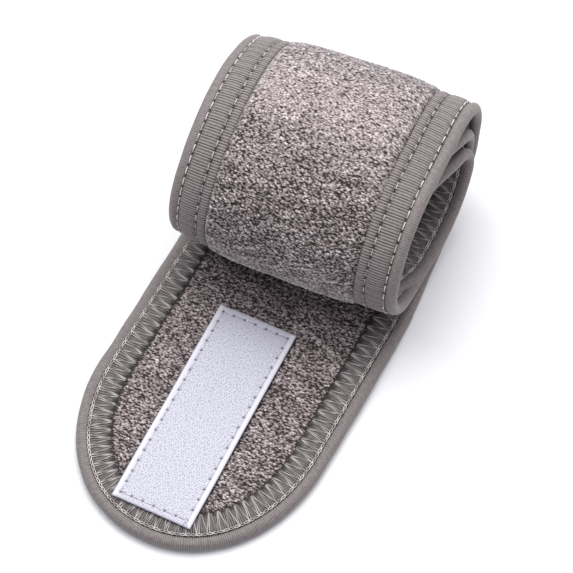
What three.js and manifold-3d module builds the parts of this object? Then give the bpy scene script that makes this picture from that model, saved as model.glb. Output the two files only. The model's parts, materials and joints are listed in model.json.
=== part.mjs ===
// Spa headband, rolled up for storage with its hook-tape flap lying open.
//
// One long band of two terry plies, back to back, with a ribbed knit binding folded round
// its edge and held by a two-needle coverstitch. A hook tape is sewn near the rounded end.
// The band lies on z = 0 with its outer face down. It runs along +Y from the rounded tip,
// under the roll, then up the back of the roll and inwards for about three turns.
// Units are millimetres, +X is across the band and +Z is up.
//
// The band is cut into three moving bodies: the flap, the base (the stretch under the
// roll) and the roll.

import * as THREE from 'three';
import { mergeVertices } from 'three/addons/utils/BufferGeometryUtils.js';
import Module from 'manifold-3d';

const wasm = await Module();
wasm.setup();

// ---- driving dimensions ----------------------------------------------------------------

const BAND_WIDTH = 90;
const PLY_BASE = 0.8; // knit backing of one terry ply
const PILE_OUTER = 1.4; // loops of the outer ply
const PILE_INNER = 1.4; // loops of the inner ply
const BINDING_CLOTH = 0.6;
const SLIT = 0.3; // clearance where cut ends and pile edges meet
const PLY_GAP = 0.2; // clearance between the two plies

const TIP_Y = -111.5;
const TIP_LENGTH = 55; // length of the rounded end
const TIP_POWER = 2.1; // 2 is an ellipse, more is squarer
const FOLD_Y = -16; // where the flap folds up

const ROLL_Y = 27; // the band leaves the table here
const ROLL_HALF_DEPTH = 44;
const ROLL_HEIGHT = 76;
const DEPTH_PITCH = 5.4; // loss of half depth per turn
const FLOOR_PITCH = 5.5; // rise of the bottom per turn
const MIDDLE_PITCH = 1; // drop of the widest place per turn
const ROOF_PITCH = 11; // drop of the top per turn
const ROLL_TURNS = 2.7;
const LIFT_TURN = 0.15; // the base ends here, part way up the back
const ROLL_WIDTH_SHARE = 0.96; // the rolled band is stretched, so it is narrower
const ROLL_SHIFT_X = 1.3;
const ROLL_YAW = THREE.MathUtils.degToRad(4); // the roll is wound slightly askew
const SKEW_FROM_Y = 0; // the band skews from here to where it leaves the table

const OUTER_LEG = 15.6; // width of the binding on the outer face
const INNER_LEG = 12.5; // width of the binding on the inner face
const EDGE_ROW = 4.4; // first needle row, from the edge
const FIELD_ROW = 12.0; // second needle row, from the edge
const THREAD_WIDTH = 0.5;
const THREAD_HEIGHT = 0.3;
const THREAD_GAP = 0.08; // clearance under a thread

const TAPE_WIDTH = 30;
const TAPE_LENGTH = 83;
const TAPE_CENTRE = [-1, -61];
const TAPE_TURN = THREE.MathUtils.degToRad(2);
const TAPE_CLOTH = 0.8; // woven ground of the tape
const HOOK_HEIGHT = 0.8;
const HOOK_INSET = 3; // the hooks start this far in from the tape's edge
const TAPE_GAP = 0.15; // clearance between the tape and the pile
const TAPE_CORNER = 1;
const TAPE_SEAM_INSET = 2.3;

const STATIONS_PER_TURN = 32;
const FLAT_STEP = 7; // length of a step on the flat stretch
const FLAP_STATIONS = 44;

// ---- layers, measured from the outer face inwards --------------------------------------

const BINDING_OUT = 0.5;
const BINDING_OUT_TOP = BINDING_OUT + BINDING_CLOTH;
const OUTER_PLY_BACK = PILE_OUTER + PLY_BASE;
const INNER_PLY_BACK = OUTER_PLY_BACK + PLY_GAP;
const INNER_PLY_PILE = INNER_PLY_BACK + PLY_BASE;
const BAND_THICKNESS = INNER_PLY_PILE + PILE_INNER;
const BINDING_IN = INNER_PLY_PILE + SLIT;
const BINDING_IN_TOP = BINDING_IN + BINDING_CLOTH;
const THREAD_OUT = [BINDING_OUT - THREAD_GAP - THREAD_HEIGHT, BINDING_OUT - THREAD_GAP];
const THREAD_IN = [BINDING_IN_TOP + THREAD_GAP, BINDING_IN_TOP + THREAD_GAP + THREAD_HEIGHT];
const TAPE_UNDER = BAND_THICKNESS + TAPE_GAP;
const TAPE_FACE = TAPE_UNDER + TAPE_CLOTH;

// ---- finishes --------------------------------------------------------------------------

const finish = (name, color, roughness) => {
  const material = new THREE.MeshStandardMaterial({ color, roughness, metalness: 0 });
  material.name = name;
  return material;
};
const TERRY = finish('terry', 0x8d817e, 1.0);
const BINDING = finish('binding', 0x969190, 0.85);
const SEAM_THREAD = finish('seam_thread', 0xb9b4b3, 0.6);
const TAPE = finish('hook_tape', 0xd9d6e2, 0.55);
const TAPE_THREAD = finish('tape_thread', 0xc9c6d4, 0.6);

// ---- the band's path -------------------------------------------------------------------

// A place along the band is a turn count: 0 where it leaves the table, less on the flat.
const FLAT_PER_TURN = 2 * Math.PI * ROLL_HALF_DEPTH;
const turnsOf = (length) => length / FLAT_PER_TURN;
const turnAt = (y) => turnsOf(y - ROLL_Y);

/** Outer face of the band in the plane across the roll, as [y, z]. */
function sectionPoint(turn) {
  if (turn <= 0) return [ROLL_Y + turn * FLAT_PER_TURN, 0];
  const angle = turn * 2 * Math.PI;
  const halfDepth = ROLL_HALF_DEPTH - DEPTH_PITCH * turn;
  const floor = FLOOR_PITCH * turn;
  const roof = ROLL_HEIGHT - ROOF_PITCH * turn;
  const middle = ROLL_HEIGHT / 2 - MIDDLE_PITCH * turn;
  const rise = -Math.cos(angle);
  const halfHeight = rise < 0 ? middle - floor : roof - middle;
  return [ROLL_Y + halfDepth * Math.sin(angle), middle + halfHeight * rise];
}

/** Unit normal of the section, pointing to the inner face. */
function sectionNormal(turn) {
  const step = 1e-4;
  const [y0, z0] = sectionPoint(turn - step);
  const [y1, z1] = sectionPoint(turn + step);
  const length = Math.hypot(y1 - y0, z1 - z0);
  return [-(z1 - z0) / length, (y1 - y0) / length];
}

/** A point of the band: x across, turn along, depth from the outer face inwards. */
function bandPoint(x, turn, depth) {
  const [y, z] = sectionPoint(turn);
  const [ny, nz] = sectionNormal(turn);
  const skew = THREE.MathUtils.smoothstep(turn, turnAt(SKEW_FROM_Y), 0);
  const across = x * (1 + (ROLL_WIDTH_SHARE - 1) * skew) + ROLL_SHIFT_X * skew;
  const along = y + ny * depth;
  const yaw = ROLL_YAW * skew;
  return new THREE.Vector3(
    across * Math.cos(yaw) - along * Math.sin(yaw),
    across * Math.sin(yaw) + along * Math.cos(yaw),
    z + nz * depth,
  );
}

// ---- cross sections, as [across, depth] outlines ---------------------------------------

const HALF = BAND_WIDTH / 2;
const PLY_INSET = BINDING_CLOTH + SLIT;
const OUTER_FIELD = OUTER_LEG + SLIT;
const INNER_FIELD = INNER_LEG + SLIT;

const OUTER_PLY_SECTION = [
  [-HALF + PLY_INSET, PILE_OUTER], [-HALF + OUTER_FIELD, PILE_OUTER], [-HALF + OUTER_FIELD, 0],
  [HALF - OUTER_FIELD, 0], [HALF - OUTER_FIELD, PILE_OUTER], [HALF - PLY_INSET, PILE_OUTER],
  [HALF - PLY_INSET, OUTER_PLY_BACK], [-HALF + PLY_INSET, OUTER_PLY_BACK],
];
const INNER_PLY_SECTION = [
  [-HALF + PLY_INSET, INNER_PLY_BACK], [HALF - PLY_INSET, INNER_PLY_BACK],
  [HALF - PLY_INSET, INNER_PLY_PILE], [HALF - INNER_FIELD, INNER_PLY_PILE],
  [HALF - INNER_FIELD, BAND_THICKNESS], [-HALF + INNER_FIELD, BAND_THICKNESS],
  [-HALF + INNER_FIELD, INNER_PLY_PILE], [-HALF + PLY_INSET, INNER_PLY_PILE],
];

// Sections of the edge pieces: the first number is the distance in from the band's edge.
const BINDING_SECTION = [
  [0, BINDING_OUT], [OUTER_LEG, BINDING_OUT], [OUTER_LEG, BINDING_OUT_TOP],
  [BINDING_CLOTH, BINDING_OUT_TOP], [BINDING_CLOTH, BINDING_IN], [INNER_LEG, BINDING_IN],
  [INNER_LEG, BINDING_IN_TOP], [0, BINDING_IN_TOP],
];
const threadSection = (from, width, [low, high]) => [
  [from, low], [from + width, low], [from + width, high], [from, high],
];
const EDGE_SECTIONS = {
  binding: { section: BINDING_SECTION, material: BINDING },
  edge_needle_thread: {
    section: threadSection(EDGE_ROW, THREAD_WIDTH, THREAD_OUT), material: SEAM_THREAD,
  },
  field_needle_thread: {
    section: threadSection(FIELD_ROW, THREAD_WIDTH, THREAD_OUT), material: SEAM_THREAD,
  },
  looper_thread: {
    section: threadSection(EDGE_ROW, FIELD_ROW - EDGE_ROW, THREAD_IN), material: SEAM_THREAD,
  },
};

// ---- building blocks -------------------------------------------------------------------

const shapeOf = (points) => new THREE.Shape(points.map(([x, y]) => new THREE.Vector2(x, y)));

/** Move every vertex of a geometry to where place(x, y, z) puts it, and close its seams. */
function remap(geometry, place) {
  const position = geometry.getAttribute('position');
  for (let i = 0; i < position.count; i += 1) {
    const point = place(position.getX(i), position.getY(i), position.getZ(i));
    position.setXYZ(i, point.x, point.y, point.z);
  }
  geometry.deleteAttribute('normal');
  geometry.deleteAttribute('uv');
  const closed = mergeVertices(geometry, 1e-4);
  closed.computeVertexNormals();
  return closed;
}

/** Places where every layer bends, so that layers stay clear of each other: ends included. */
function stationsBetween(fromTurn, toTurn) {
  const stations = [fromTurn];
  const nearest = turnsOf(2 * SLIT);
  for (let y = FOLD_Y + FLAT_STEP; y < ROLL_Y; y += FLAT_STEP) stations.push(turnAt(y));
  for (let i = 0; i < ROLL_TURNS * STATIONS_PER_TURN; i += 1) stations.push(i / STATIONS_PER_TURN);
  const inside = stations.slice(1).filter((turn) => turn > fromTurn + nearest && turn < toTurn - nearest);
  return [fromTurn, ...inside, toTurn];
}

/** Sweep a section along the band between two places, given as turns. */
function sweepBand(section, fromTurn, toTurn) {
  const stations = stationsBetween(fromTurn, toTurn).reverse();
  const steps = stations.length - 1;
  const geometry = new THREE.ExtrudeGeometry(shapeOf(section), {
    depth: steps, steps, bevelEnabled: false,
  });
  return remap(geometry, (x, depth, index) => bandPoint(x, stations[Math.round(index)], depth));
}

/** The same section on the left or right edge: distances from the edge become x. */
const atEdge = (section, side) => section.map(([inset, depth]) => [side * (HALF - inset), depth]);

/** Point on the flap's outline, from its left fold corner (0) round the tip to the right (1). */
function flapOutline(share) {
  const straight = TIP_Y + TIP_LENGTH;
  const sideLength = FOLD_Y - SLIT / 2 - straight;
  const endLength = Math.PI * Math.sqrt((HALF ** 2 + TIP_LENGTH ** 2) / 2);
  const place = share * (2 * sideLength + endLength);
  if (place <= sideLength) return [-HALF, FOLD_Y - SLIT / 2 - place];
  if (place >= sideLength + endLength) return [HALF, straight + place - sideLength - endLength];
  const angle = ((place - sideLength) / endLength) * Math.PI;
  const power = 2 / TIP_POWER;
  const c = Math.cos(angle);
  const s = Math.sin(angle);
  return [-HALF * Math.sign(c) * Math.abs(c) ** power, straight - TIP_LENGTH * s ** power];
}

/** Point of the flap at a distance in from its outline. */
function flapPoint(share, inset, height) {
  const step = 1e-3;
  const [x0, y0] = flapOutline(Math.max(share - step, 0));
  const [x1, y1] = flapOutline(Math.min(share + step, 1));
  const length = Math.hypot(x1 - x0, y1 - y0);
  const [x, y] = flapOutline(share);
  return new THREE.Vector3(x - ((y1 - y0) / length) * inset, y + ((x1 - x0) / length) * inset, height);
}

/** Sweep an edge section round the flap. */
function sweepFlap(section) {
  const geometry = new THREE.ExtrudeGeometry(shapeOf(section), {
    depth: 1, steps: FLAP_STATIONS, bevelEnabled: false,
  });
  return remap(geometry, (inset, height, share) => flapPoint(share, inset, height));
}

/** Flat plate with the flap's outline, moved in by an inset. */
function flapPlate(inset, low, high) {
  const outline = [];
  for (let i = 0; i <= FLAP_STATIONS; i += 1) {
    const point = flapPoint(i / FLAP_STATIONS, inset, 0);
    outline.push([point.x, point.y]);
  }
  const geometry = new THREE.ExtrudeGeometry(shapeOf(outline), {
    depth: high - low, bevelEnabled: false,
  });
  return remap(geometry, (x, y, z) => new THREE.Vector3(x, y, z + low));
}

function toSolid(geometry) {
  return new wasm.Manifold(new wasm.Mesh({
    numProp: 3,
    vertProperties: new Float32Array(geometry.getAttribute('position').array),
    triVerts: new Uint32Array(geometry.index.array),
  }));
}

function toGeometry(solid) {
  const mesh = solid.getMesh();
  const geometry = new THREE.BufferGeometry();
  geometry.setAttribute('position', new THREE.BufferAttribute(new Float32Array(mesh.vertProperties), 3));
  geometry.setIndex(new THREE.BufferAttribute(new Uint32Array(mesh.triVerts), 1));
  geometry.computeVertexNormals();
  return geometry;
}

const join = (a, b) => toGeometry(toSolid(a).add(toSolid(b)));
const cut = (a, b) => toGeometry(toSolid(a).subtract(toSolid(b)));

/** Plate with rounded corners between two heights. */
function roundedPlate(width, length, low, high) {
  const shape = new THREE.Shape();
  const x = width / 2 - TAPE_CORNER;
  const y = length / 2 - TAPE_CORNER;
  shape.absarc(x, y, TAPE_CORNER, 0, Math.PI / 2);
  shape.absarc(-x, y, TAPE_CORNER, Math.PI / 2, Math.PI);
  shape.absarc(-x, -y, TAPE_CORNER, Math.PI, 1.5 * Math.PI);
  shape.absarc(x, -y, TAPE_CORNER, 1.5 * Math.PI, 2 * Math.PI);
  const geometry = new THREE.ExtrudeGeometry(shape, {
    depth: high - low, bevelEnabled: false, curveSegments: 3,
  });
  return remap(geometry, (px, py, pz) => new THREE.Vector3(px, py, pz + low));
}

// ---- assembly --------------------------------------------------------------------------

const band = new THREE.Group();
const flap = new THREE.Group();
const base = new THREE.Group();
const roll = new THREE.Group();
band.add(flap, base, roll);

function addMesh(group, name, geometry, material) {
  const mesh = new THREE.Mesh(geometry, material);
  mesh.name = name;
  group.add(mesh);
  return mesh;
}

/** The rounded flap: both plies, and the binding and its threads in one run round the end. */
function buildFlap() {
  addMesh(flap, 'flap_outer_terry', join(
    flapPlate(PLY_INSET, PILE_OUTER, OUTER_PLY_BACK),
    flapPlate(OUTER_FIELD, 0, PILE_OUTER + PLY_BASE / 2),
  ), TERRY);
  addMesh(flap, 'flap_inner_terry', join(
    flapPlate(PLY_INSET, INNER_PLY_BACK, INNER_PLY_PILE),
    flapPlate(INNER_FIELD, INNER_PLY_BACK + PLY_BASE / 2, BAND_THICKNESS),
  ), TERRY);
  for (const [name, piece] of Object.entries(EDGE_SECTIONS)) {
    addMesh(flap, `flap_${name}`, sweepFlap(piece.section), piece.material);
  }
}

/** The hook tape, and the ring of lockstitch thread that lies on its border. */
function buildHookTape() {
  const inside = (inset) => [TAPE_WIDTH - 2 * inset, TAPE_LENGTH - 2 * inset];
  const threadLow = TAPE_FACE + THREAD_GAP;
  const threadHigh = threadLow + THREAD_HEIGHT;
  const tape = join(
    roundedPlate(...inside(0), TAPE_UNDER, TAPE_FACE),
    roundedPlate(...inside(HOOK_INSET), TAPE_UNDER + TAPE_CLOTH / 2, TAPE_FACE + HOOK_HEIGHT),
  );
  const ring = cut(
    roundedPlate(...inside(TAPE_SEAM_INSET - THREAD_WIDTH / 2), threadLow, threadHigh),
    roundedPlate(...inside(TAPE_SEAM_INSET + THREAD_WIDTH / 2), threadLow - SLIT, threadHigh + SLIT),
  );
  const pieces = [
    addMesh(flap, 'hook_tape', tape, TAPE),
    addMesh(flap, 'hook_tape_thread', ring, TAPE_THREAD),
  ];
  for (const piece of pieces) {
    piece.position.set(...TAPE_CENTRE, 0);
    piece.rotation.z = TAPE_TURN;
  }
}

/** Edge pieces of a straight or rolled stretch, one of each on the left and right edge. */
function addEdges(group, prefix, fromTurn, toTurn) {
  for (const [side, sideName] of [[-1, 'left'], [1, 'right']]) {
    for (const [name, piece] of Object.entries(EDGE_SECTIONS)) {
      const geometry = sweepBand(atEdge(piece.section, side), fromTurn, toTurn);
      addMesh(group, `${prefix}_${name}_${sideName}`, geometry, piece.material);
    }
  }
}

/** The stretch that lies on the table and starts up the back of the roll. */
function buildBase() {
  const from = turnAt(FOLD_Y + SLIT / 2);
  const to = LIFT_TURN - turnsOf(SLIT / 2);
  addMesh(base, 'base_outer_terry', sweepBand(OUTER_PLY_SECTION, from, to), TERRY);
  addMesh(base, 'base_inner_terry', sweepBand(INNER_PLY_SECTION, from, to), TERRY);
  addEdges(base, 'base', from, to);
}

/** The roll: the plies turn by turn, the edge pieces in one run, and the bound inner end. */
function buildRoll() {
  const from = LIFT_TURN + turnsOf(SLIT / 2);
  const splits = [from, 1, 2, ROLL_TURNS];
  for (let turn = 1; turn < splits.length; turn += 1) {
    const start = splits[turn - 1] + (turn > 1 ? turnsOf(SLIT) : 0);
    const outer = sweepBand(OUTER_PLY_SECTION, start, splits[turn]);
    const inner = sweepBand(INNER_PLY_SECTION, start, splits[turn]);
    addMesh(roll, `roll_outer_terry_${turn}`, outer, TERRY);
    addMesh(roll, `roll_inner_terry_${turn}`, inner, TERRY);
  }
  addEdges(roll, 'roll', from, ROLL_TURNS);
}

buildFlap();
buildHookTape();
buildBase();
buildRoll();

export default band;
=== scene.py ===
"""Spa headband: the cloth, seams, threads and hook tape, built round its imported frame.

The band is two terry plies back to back, with a ribbed knit binding round the edge. It lies
with its outer face down from the rounded tip to the roll, then winds up and inwards. Every
piece is laid out flat first, as (across, along, depth) in millimetres, and BandPath rolls it.
"""

import json
import logging
import math
from dataclasses import dataclass, field
from enum import Enum

import bmesh
import bpy
import numpy as np
from mathutils import Matrix, Vector

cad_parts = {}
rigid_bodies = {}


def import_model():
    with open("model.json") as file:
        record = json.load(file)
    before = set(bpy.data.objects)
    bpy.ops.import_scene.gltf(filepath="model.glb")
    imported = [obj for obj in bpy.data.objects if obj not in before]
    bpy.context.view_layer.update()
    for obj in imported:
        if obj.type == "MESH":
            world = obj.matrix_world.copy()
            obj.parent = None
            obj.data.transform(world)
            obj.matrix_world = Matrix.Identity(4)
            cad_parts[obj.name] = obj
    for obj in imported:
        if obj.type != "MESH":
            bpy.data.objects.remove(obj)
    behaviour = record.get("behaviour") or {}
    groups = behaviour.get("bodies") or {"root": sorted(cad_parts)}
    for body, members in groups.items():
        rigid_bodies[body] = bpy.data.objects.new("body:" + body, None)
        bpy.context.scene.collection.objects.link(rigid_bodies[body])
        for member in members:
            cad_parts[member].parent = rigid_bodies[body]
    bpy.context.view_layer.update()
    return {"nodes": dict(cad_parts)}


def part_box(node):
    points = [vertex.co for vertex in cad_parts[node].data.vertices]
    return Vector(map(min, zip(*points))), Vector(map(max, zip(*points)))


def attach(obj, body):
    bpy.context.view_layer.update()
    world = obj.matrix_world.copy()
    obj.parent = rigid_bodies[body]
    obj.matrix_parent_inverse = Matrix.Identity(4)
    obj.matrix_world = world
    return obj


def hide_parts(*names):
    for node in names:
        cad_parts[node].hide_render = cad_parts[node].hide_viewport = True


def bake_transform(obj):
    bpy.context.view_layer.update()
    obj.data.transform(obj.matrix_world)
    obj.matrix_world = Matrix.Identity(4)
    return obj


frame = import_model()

MM = 0.001
LOG = logging.getLogger("headband")


# ---- small helpers ---------------------------------------------------------------------


def linear(hex_colour: str) -> tuple[float, float, float, float]:
    """Turn an sRGB hex colour into linear RGBA.

    Args:
        hex_colour: Six hex digits after a hash.

    Returns:
        Red, green, blue and an alpha of one.
    """
    parts = [int(hex_colour[i : i + 2], 16) / 255 for i in (1, 3, 5)]
    curve = [c / 12.92 if c <= 0.04045 else ((c + 0.055) / 1.055) ** 2.4 for c in parts]
    return (*curve, 1.0)


def smooth(value: np.ndarray, low: float, high: float) -> np.ndarray:
    """Rise smoothly from 0 at low to 1 at high.

    Args:
        value: Where to read the rise.
        low: Where it starts.
        high: Where it ends.

    Returns:
        Values from 0 to 1.
    """
    share = np.clip((np.asarray(value, float) - low) / (high - low), 0, 1)
    return share * share * (3 - 2 * share)


def add_node(tree: bpy.types.NodeTree, kind: str, links: dict | None = None, **settings) -> bpy.types.Node:
    """Add one node with its settings and links.

    Args:
        tree: The node tree.
        kind: The node's type name.
        links: Input name or number to an output socket, or to a plain value.
        **settings: Properties of the node.

    Returns:
        The new node.
    """
    node = tree.nodes.new(kind)
    for name, value in settings.items():
        setattr(node, name, value)
    for name, value in (links or {}).items():
        if isinstance(value, bpy.types.NodeSocket):
            tree.links.new(value, node.inputs[name])
        else:
            node.inputs[name].default_value = value
    return node


class Side(Enum):
    """An edge of the band."""

    LEFT = -1
    RIGHT = 1


class Face(Enum):
    """A face of the band."""

    OUTER = "outer"
    INNER = "inner"


class Stretch(Enum):
    """A stretch of the band. Each layer of cloth is one piece on it."""

    FRONT = "front"
    MIDDLE = "middle"
    REAR = "rear"
    CORE = "core"


# ---- noise on the flat cloth -----------------------------------------------------------


@dataclass(frozen=True)
class ClothNoise:
    """Seeded noise over flat cloth, the same on every run."""

    seed: int = 7
    size: int = 128

    def table(self, layer: int) -> np.ndarray:
        """Random values from 0 to 1 for one layer of noise."""
        return np.random.default_rng(self.seed + layer).random((self.size, self.size))

    def at(self, values: np.ndarray, i: np.ndarray, j: np.ndarray) -> np.ndarray:
        """Values of a table at whole places, repeating past its edges."""
        return values[i % self.size, j % self.size]

    def patches(self, u: np.ndarray, v: np.ndarray, cell: tuple[float, float], layer: int) -> np.ndarray:
        """Smooth random patches.

        Args:
            u: Place across, in millimetres.
            v: Place along, in millimetres.
            cell: Size of a patch across and along.
            layer: Which layer of random values.

        Returns:
            Values from 0 to 1.
        """
        values = self.table(layer)
        a, b = u / cell[0] + 500.0, v / cell[1] + 500.0
        i, j = np.floor(a).astype(int), np.floor(b).astype(int)
        fu, fv = smooth(a - i, 0, 1), smooth(b - j, 0, 1)
        low = self.at(values, i, j) * (1 - fu) + self.at(values, i + 1, j) * fu
        high = self.at(values, i, j + 1) * (1 - fu) + self.at(values, i + 1, j + 1) * fu
        return low * (1 - fv) + high * fv

    def loops(self, u: np.ndarray, v: np.ndarray, pitch: tuple[float, float], layer: int) -> np.ndarray:
        """Round tips of terry loops in staggered, uneven rows.

        Args:
            u: Place across, in millimetres.
            v: Place along, in millimetres.
            pitch: Loop spacing across and along.
            layer: Which layer of random values.

        Returns:
            Height from 0 between loops to 1 on the highest tips.
        """
        shift_u, shift_v, tall, turn = (self.table(layer + k) for k in range(4))
        row = np.floor(v / pitch[1] + 500).astype(int)
        height = np.zeros_like(u)
        for down in (-1, 0, 1):
            j = row + down
            stagger = 0.5 * (j % 2)
            column = np.floor(u / pitch[0] + 500 - stagger).astype(int)
            for beside in (-1, 0, 1):
                i = column + beside
                key = (i % self.size, j % self.size)
                du = u / pitch[0] + 500 - (i + stagger + 0.5 + 0.55 * (shift_u[key] - 0.5))
                dv = v / pitch[1] + 500 - (j + 0.5 + 0.55 * (shift_v[key] - 0.5))
                lean = (turn[key] - 0.5) * 1.3
                along = du * np.cos(lean) + dv * np.sin(lean)
                beside_it = dv * np.cos(lean) - du * np.sin(lean)
                distance = (along / 0.68) ** 2 + (beside_it / 0.55) ** 2
                tip = (0.5 + 0.5 * tall[key]) * np.sqrt(np.clip(1 - distance, 0, 1))
                height = np.maximum(height, tip)
        return height


NOISE = ClothNoise()


# ---- the path of the band --------------------------------------------------------------


@dataclass(frozen=True)
class BandPath:
    """The band's shape: flat on the table, then wound into the roll. All in millimetres."""

    half_width: float
    tip_y: float
    fold_y: float
    thickness: float = 4.6
    tip_length: float = 55.0
    tip_power: float = 2.1
    roll_y: float = 27.0
    half_depth: float = 44.0
    height: float = 76.0
    depth_pitch: float = 5.4
    floor_pitch: float = 5.5
    middle_pitch: float = 1.0
    roof_pitch: float = 11.0
    turns: float = 2.7
    lift_turn: float = 0.15
    width_share: float = 0.96
    shift_x: float = 1.3
    yaw: float = math.radians(4)
    back_bulge: float = 3.4  # outward, on the back of the outer turn
    crown: float = 1.3  # inward, at the edges where the band is wound
    droop: float = 4.0  # inward, at the right end of the top back corner
    recess: float = 8.5  # inner turns drawn in from the right edge
    core_reach: float = 2.5  # floor of the third turn pushed out past the right edge
    settle: tuple = (3.2, 2.4)  # lower front of the third turn, forward and down
    split_y: float = 8.0
    split_turn: float = 0.33
    core_turn: float = 1.03

    @classmethod
    def from_frame(cls) -> "BandPath":
        """Take the flap's edge and the fold from the frame."""
        low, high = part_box("flap_binding")
        return cls(half_width=high[0] / MM, tip_y=low[1] / MM, fold_y=round(high[1] / MM))

    def section(self, turn: np.ndarray) -> tuple[np.ndarray, np.ndarray]:
        """Outer face in the plane across the roll.

        Args:
            turn: Turns from the lowest place of the outer turn; below zero on the flat stretch.

        Returns:
            Y and height, in millimetres.
        """
        angle = 2 * np.pi * np.maximum(turn, 0)
        wound = np.maximum(turn, 0)
        half_depth = self.half_depth - self.depth_pitch * wound
        floor = self.floor_pitch * wound
        roof = self.height - self.roof_pitch * wound
        middle = self.height / 2 - self.middle_pitch * wound
        rise = -np.cos(angle)
        half_height = np.where(rise < 0, middle - floor, roof - middle)
        flat = np.minimum(turn, 0) * 2 * np.pi * self.half_depth
        return self.roll_y + flat + half_depth * np.sin(angle), middle + half_height * rise

    def table(self) -> tuple[np.ndarray, np.ndarray]:
        """Length along the band and turn count, at many places on the roll."""
        turn = np.linspace(0, self.turns, 4000)
        y, z = self.section(turn)
        length = np.concatenate([[0], np.cumsum(np.hypot(np.diff(y), np.diff(z)))])
        return self.roll_y + length, turn

    def turn_at(self, along: np.ndarray) -> np.ndarray:
        """Turn count at a place along the band.

        Args:
            along: Distance along the band.

        Returns:
            Turns, below zero on the flat stretch.
        """
        lengths, turns = self.table()
        flat = (along - self.roll_y) / (2 * np.pi * self.half_depth)
        return np.where(along < self.roll_y, flat, np.interp(along, lengths, turns))

    def along_at(self, turn: float) -> float:
        """Place along the band at a turn count.

        Args:
            turn: Turns, zero or more.

        Returns:
            Distance along the band.
        """
        lengths, turns = self.table()
        return float(np.interp(turn, turns, lengths))

    def place(self, across: np.ndarray, along: np.ndarray, depth: np.ndarray) -> np.ndarray:
        """Roll flat points up.

        Args:
            across: Distance from the middle of the band.
            along: Distance along the band, equal to Y on the flat stretch.
            depth: Distance from the outer face inwards.

        Returns:
            Points of the row frame, in millimetres, one to a row.
        """
        across, along, depth = np.broadcast_arrays(across, along, np.asarray(depth, float))
        turn = self.turn_at(along)
        step = 1e-4
        y, z = self.section(turn)
        y0, z0 = self.section(turn - step)
        y1, z1 = self.section(turn + step)
        run = np.hypot(y1 - y0, z1 - z0)
        ny, nz = -(z1 - z0) / run, (y1 - y0) / run
        skew = smooth(along, 0, self.roll_y)
        x = across * (1 + (self.width_share - 1) * skew) + self.shift_x * skew
        share = across / self.half_width
        depth = depth + self.crown * smooth(turn, 0.15, 0.4) * share**4 * (1 - 0.45 * share)
        bulge = self.back_bulge * np.exp(-(((turn - 0.37) / 0.09) ** 2))
        droop = self.droop * np.exp(-(((turn - 0.47) / 0.09) ** 2)) * smooth(share, 0.35, 1)
        depth = depth - bulge * (0.5 + 0.5 * share) + droop
        y = y + ny * depth
        z = z + nz * depth
        low = smooth(np.cos(2 * np.pi * turn), 0.1, 0.8) * smooth(turn, 1.5, 1.9) * smooth(share, 0, 1)
        y, z = y - self.settle[0] * low, z - self.settle[1] * low
        part = turn % 1.0
        slack = (turn > 1.3) * smooth(part, 0.36, 0.6) * (1 - smooth(part, 0.8, 1.0))
        reach = self.core_reach * np.exp(-(((turn - 2.17) / 0.16) ** 2))
        x = x + (reach - self.recess * slack) * (0.5 + 0.5 * share)
        yaw = self.yaw * skew
        return np.stack([x * np.cos(yaw) - y * np.sin(yaw), x * np.sin(yaw) + y * np.cos(yaw), z], -1)

    def outward(self, across: np.ndarray, along: np.ndarray) -> np.ndarray:
        """Unit vectors out of the outer face.

        Args:
            across: Distance from the middle of the band.
            along: Distance along the band.

        Returns:
            Unit vectors, one to a row.
        """
        inner = self.place(across, along, 1.0)
        outer = self.place(across, along, 0.0)
        return (outer - inner) / np.linalg.norm(outer - inner, axis=-1, keepdims=True)

    def end_outline(self, inset: float, count: int) -> np.ndarray:
        """Right half of the rounded end, from the tip to where the side is straight.

        Args:
            inset: Distance in from the edge.
            count: Number of points.

        Returns:
            Points as (across, along).
        """
        angle = np.linspace(0, np.pi / 2, count * 8)
        power = 2 / self.tip_power
        across = self.half_width * np.sin(angle) ** power
        along = self.tip_y + self.tip_length * (1 - np.cos(angle) ** power)
        run = np.concatenate([[0], np.cumsum(np.hypot(np.diff(across), np.diff(along)))])
        even = np.linspace(0, run[-1], count)
        points = np.stack([np.interp(even, run, across), np.interp(even, run, along)], -1)
        heading = np.gradient(points, axis=0)
        heading[0], heading[-1] = (1, 0), (0, 1)
        heading /= np.linalg.norm(heading, axis=1, keepdims=True)
        return points + inset * np.stack([-heading[:, 1], heading[:, 0]], -1)

    def limits(self, stretch: Stretch) -> tuple[float, float]:
        """Where a stretch starts and ends along the band.

        Args:
            stretch: The stretch.

        Returns:
            Its two ends, in millimetres along the band.
        """
        split = self.along_at(self.split_turn)
        core = self.along_at(self.core_turn)
        return {
            Stretch.FRONT: (self.tip_y, self.split_y),
            Stretch.MIDDLE: (self.split_y, split),
            Stretch.REAR: (split, core),
            Stretch.CORE: (core, self.along_at(self.turns)),
        }[stretch]


PATH = BandPath.from_frame()


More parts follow.
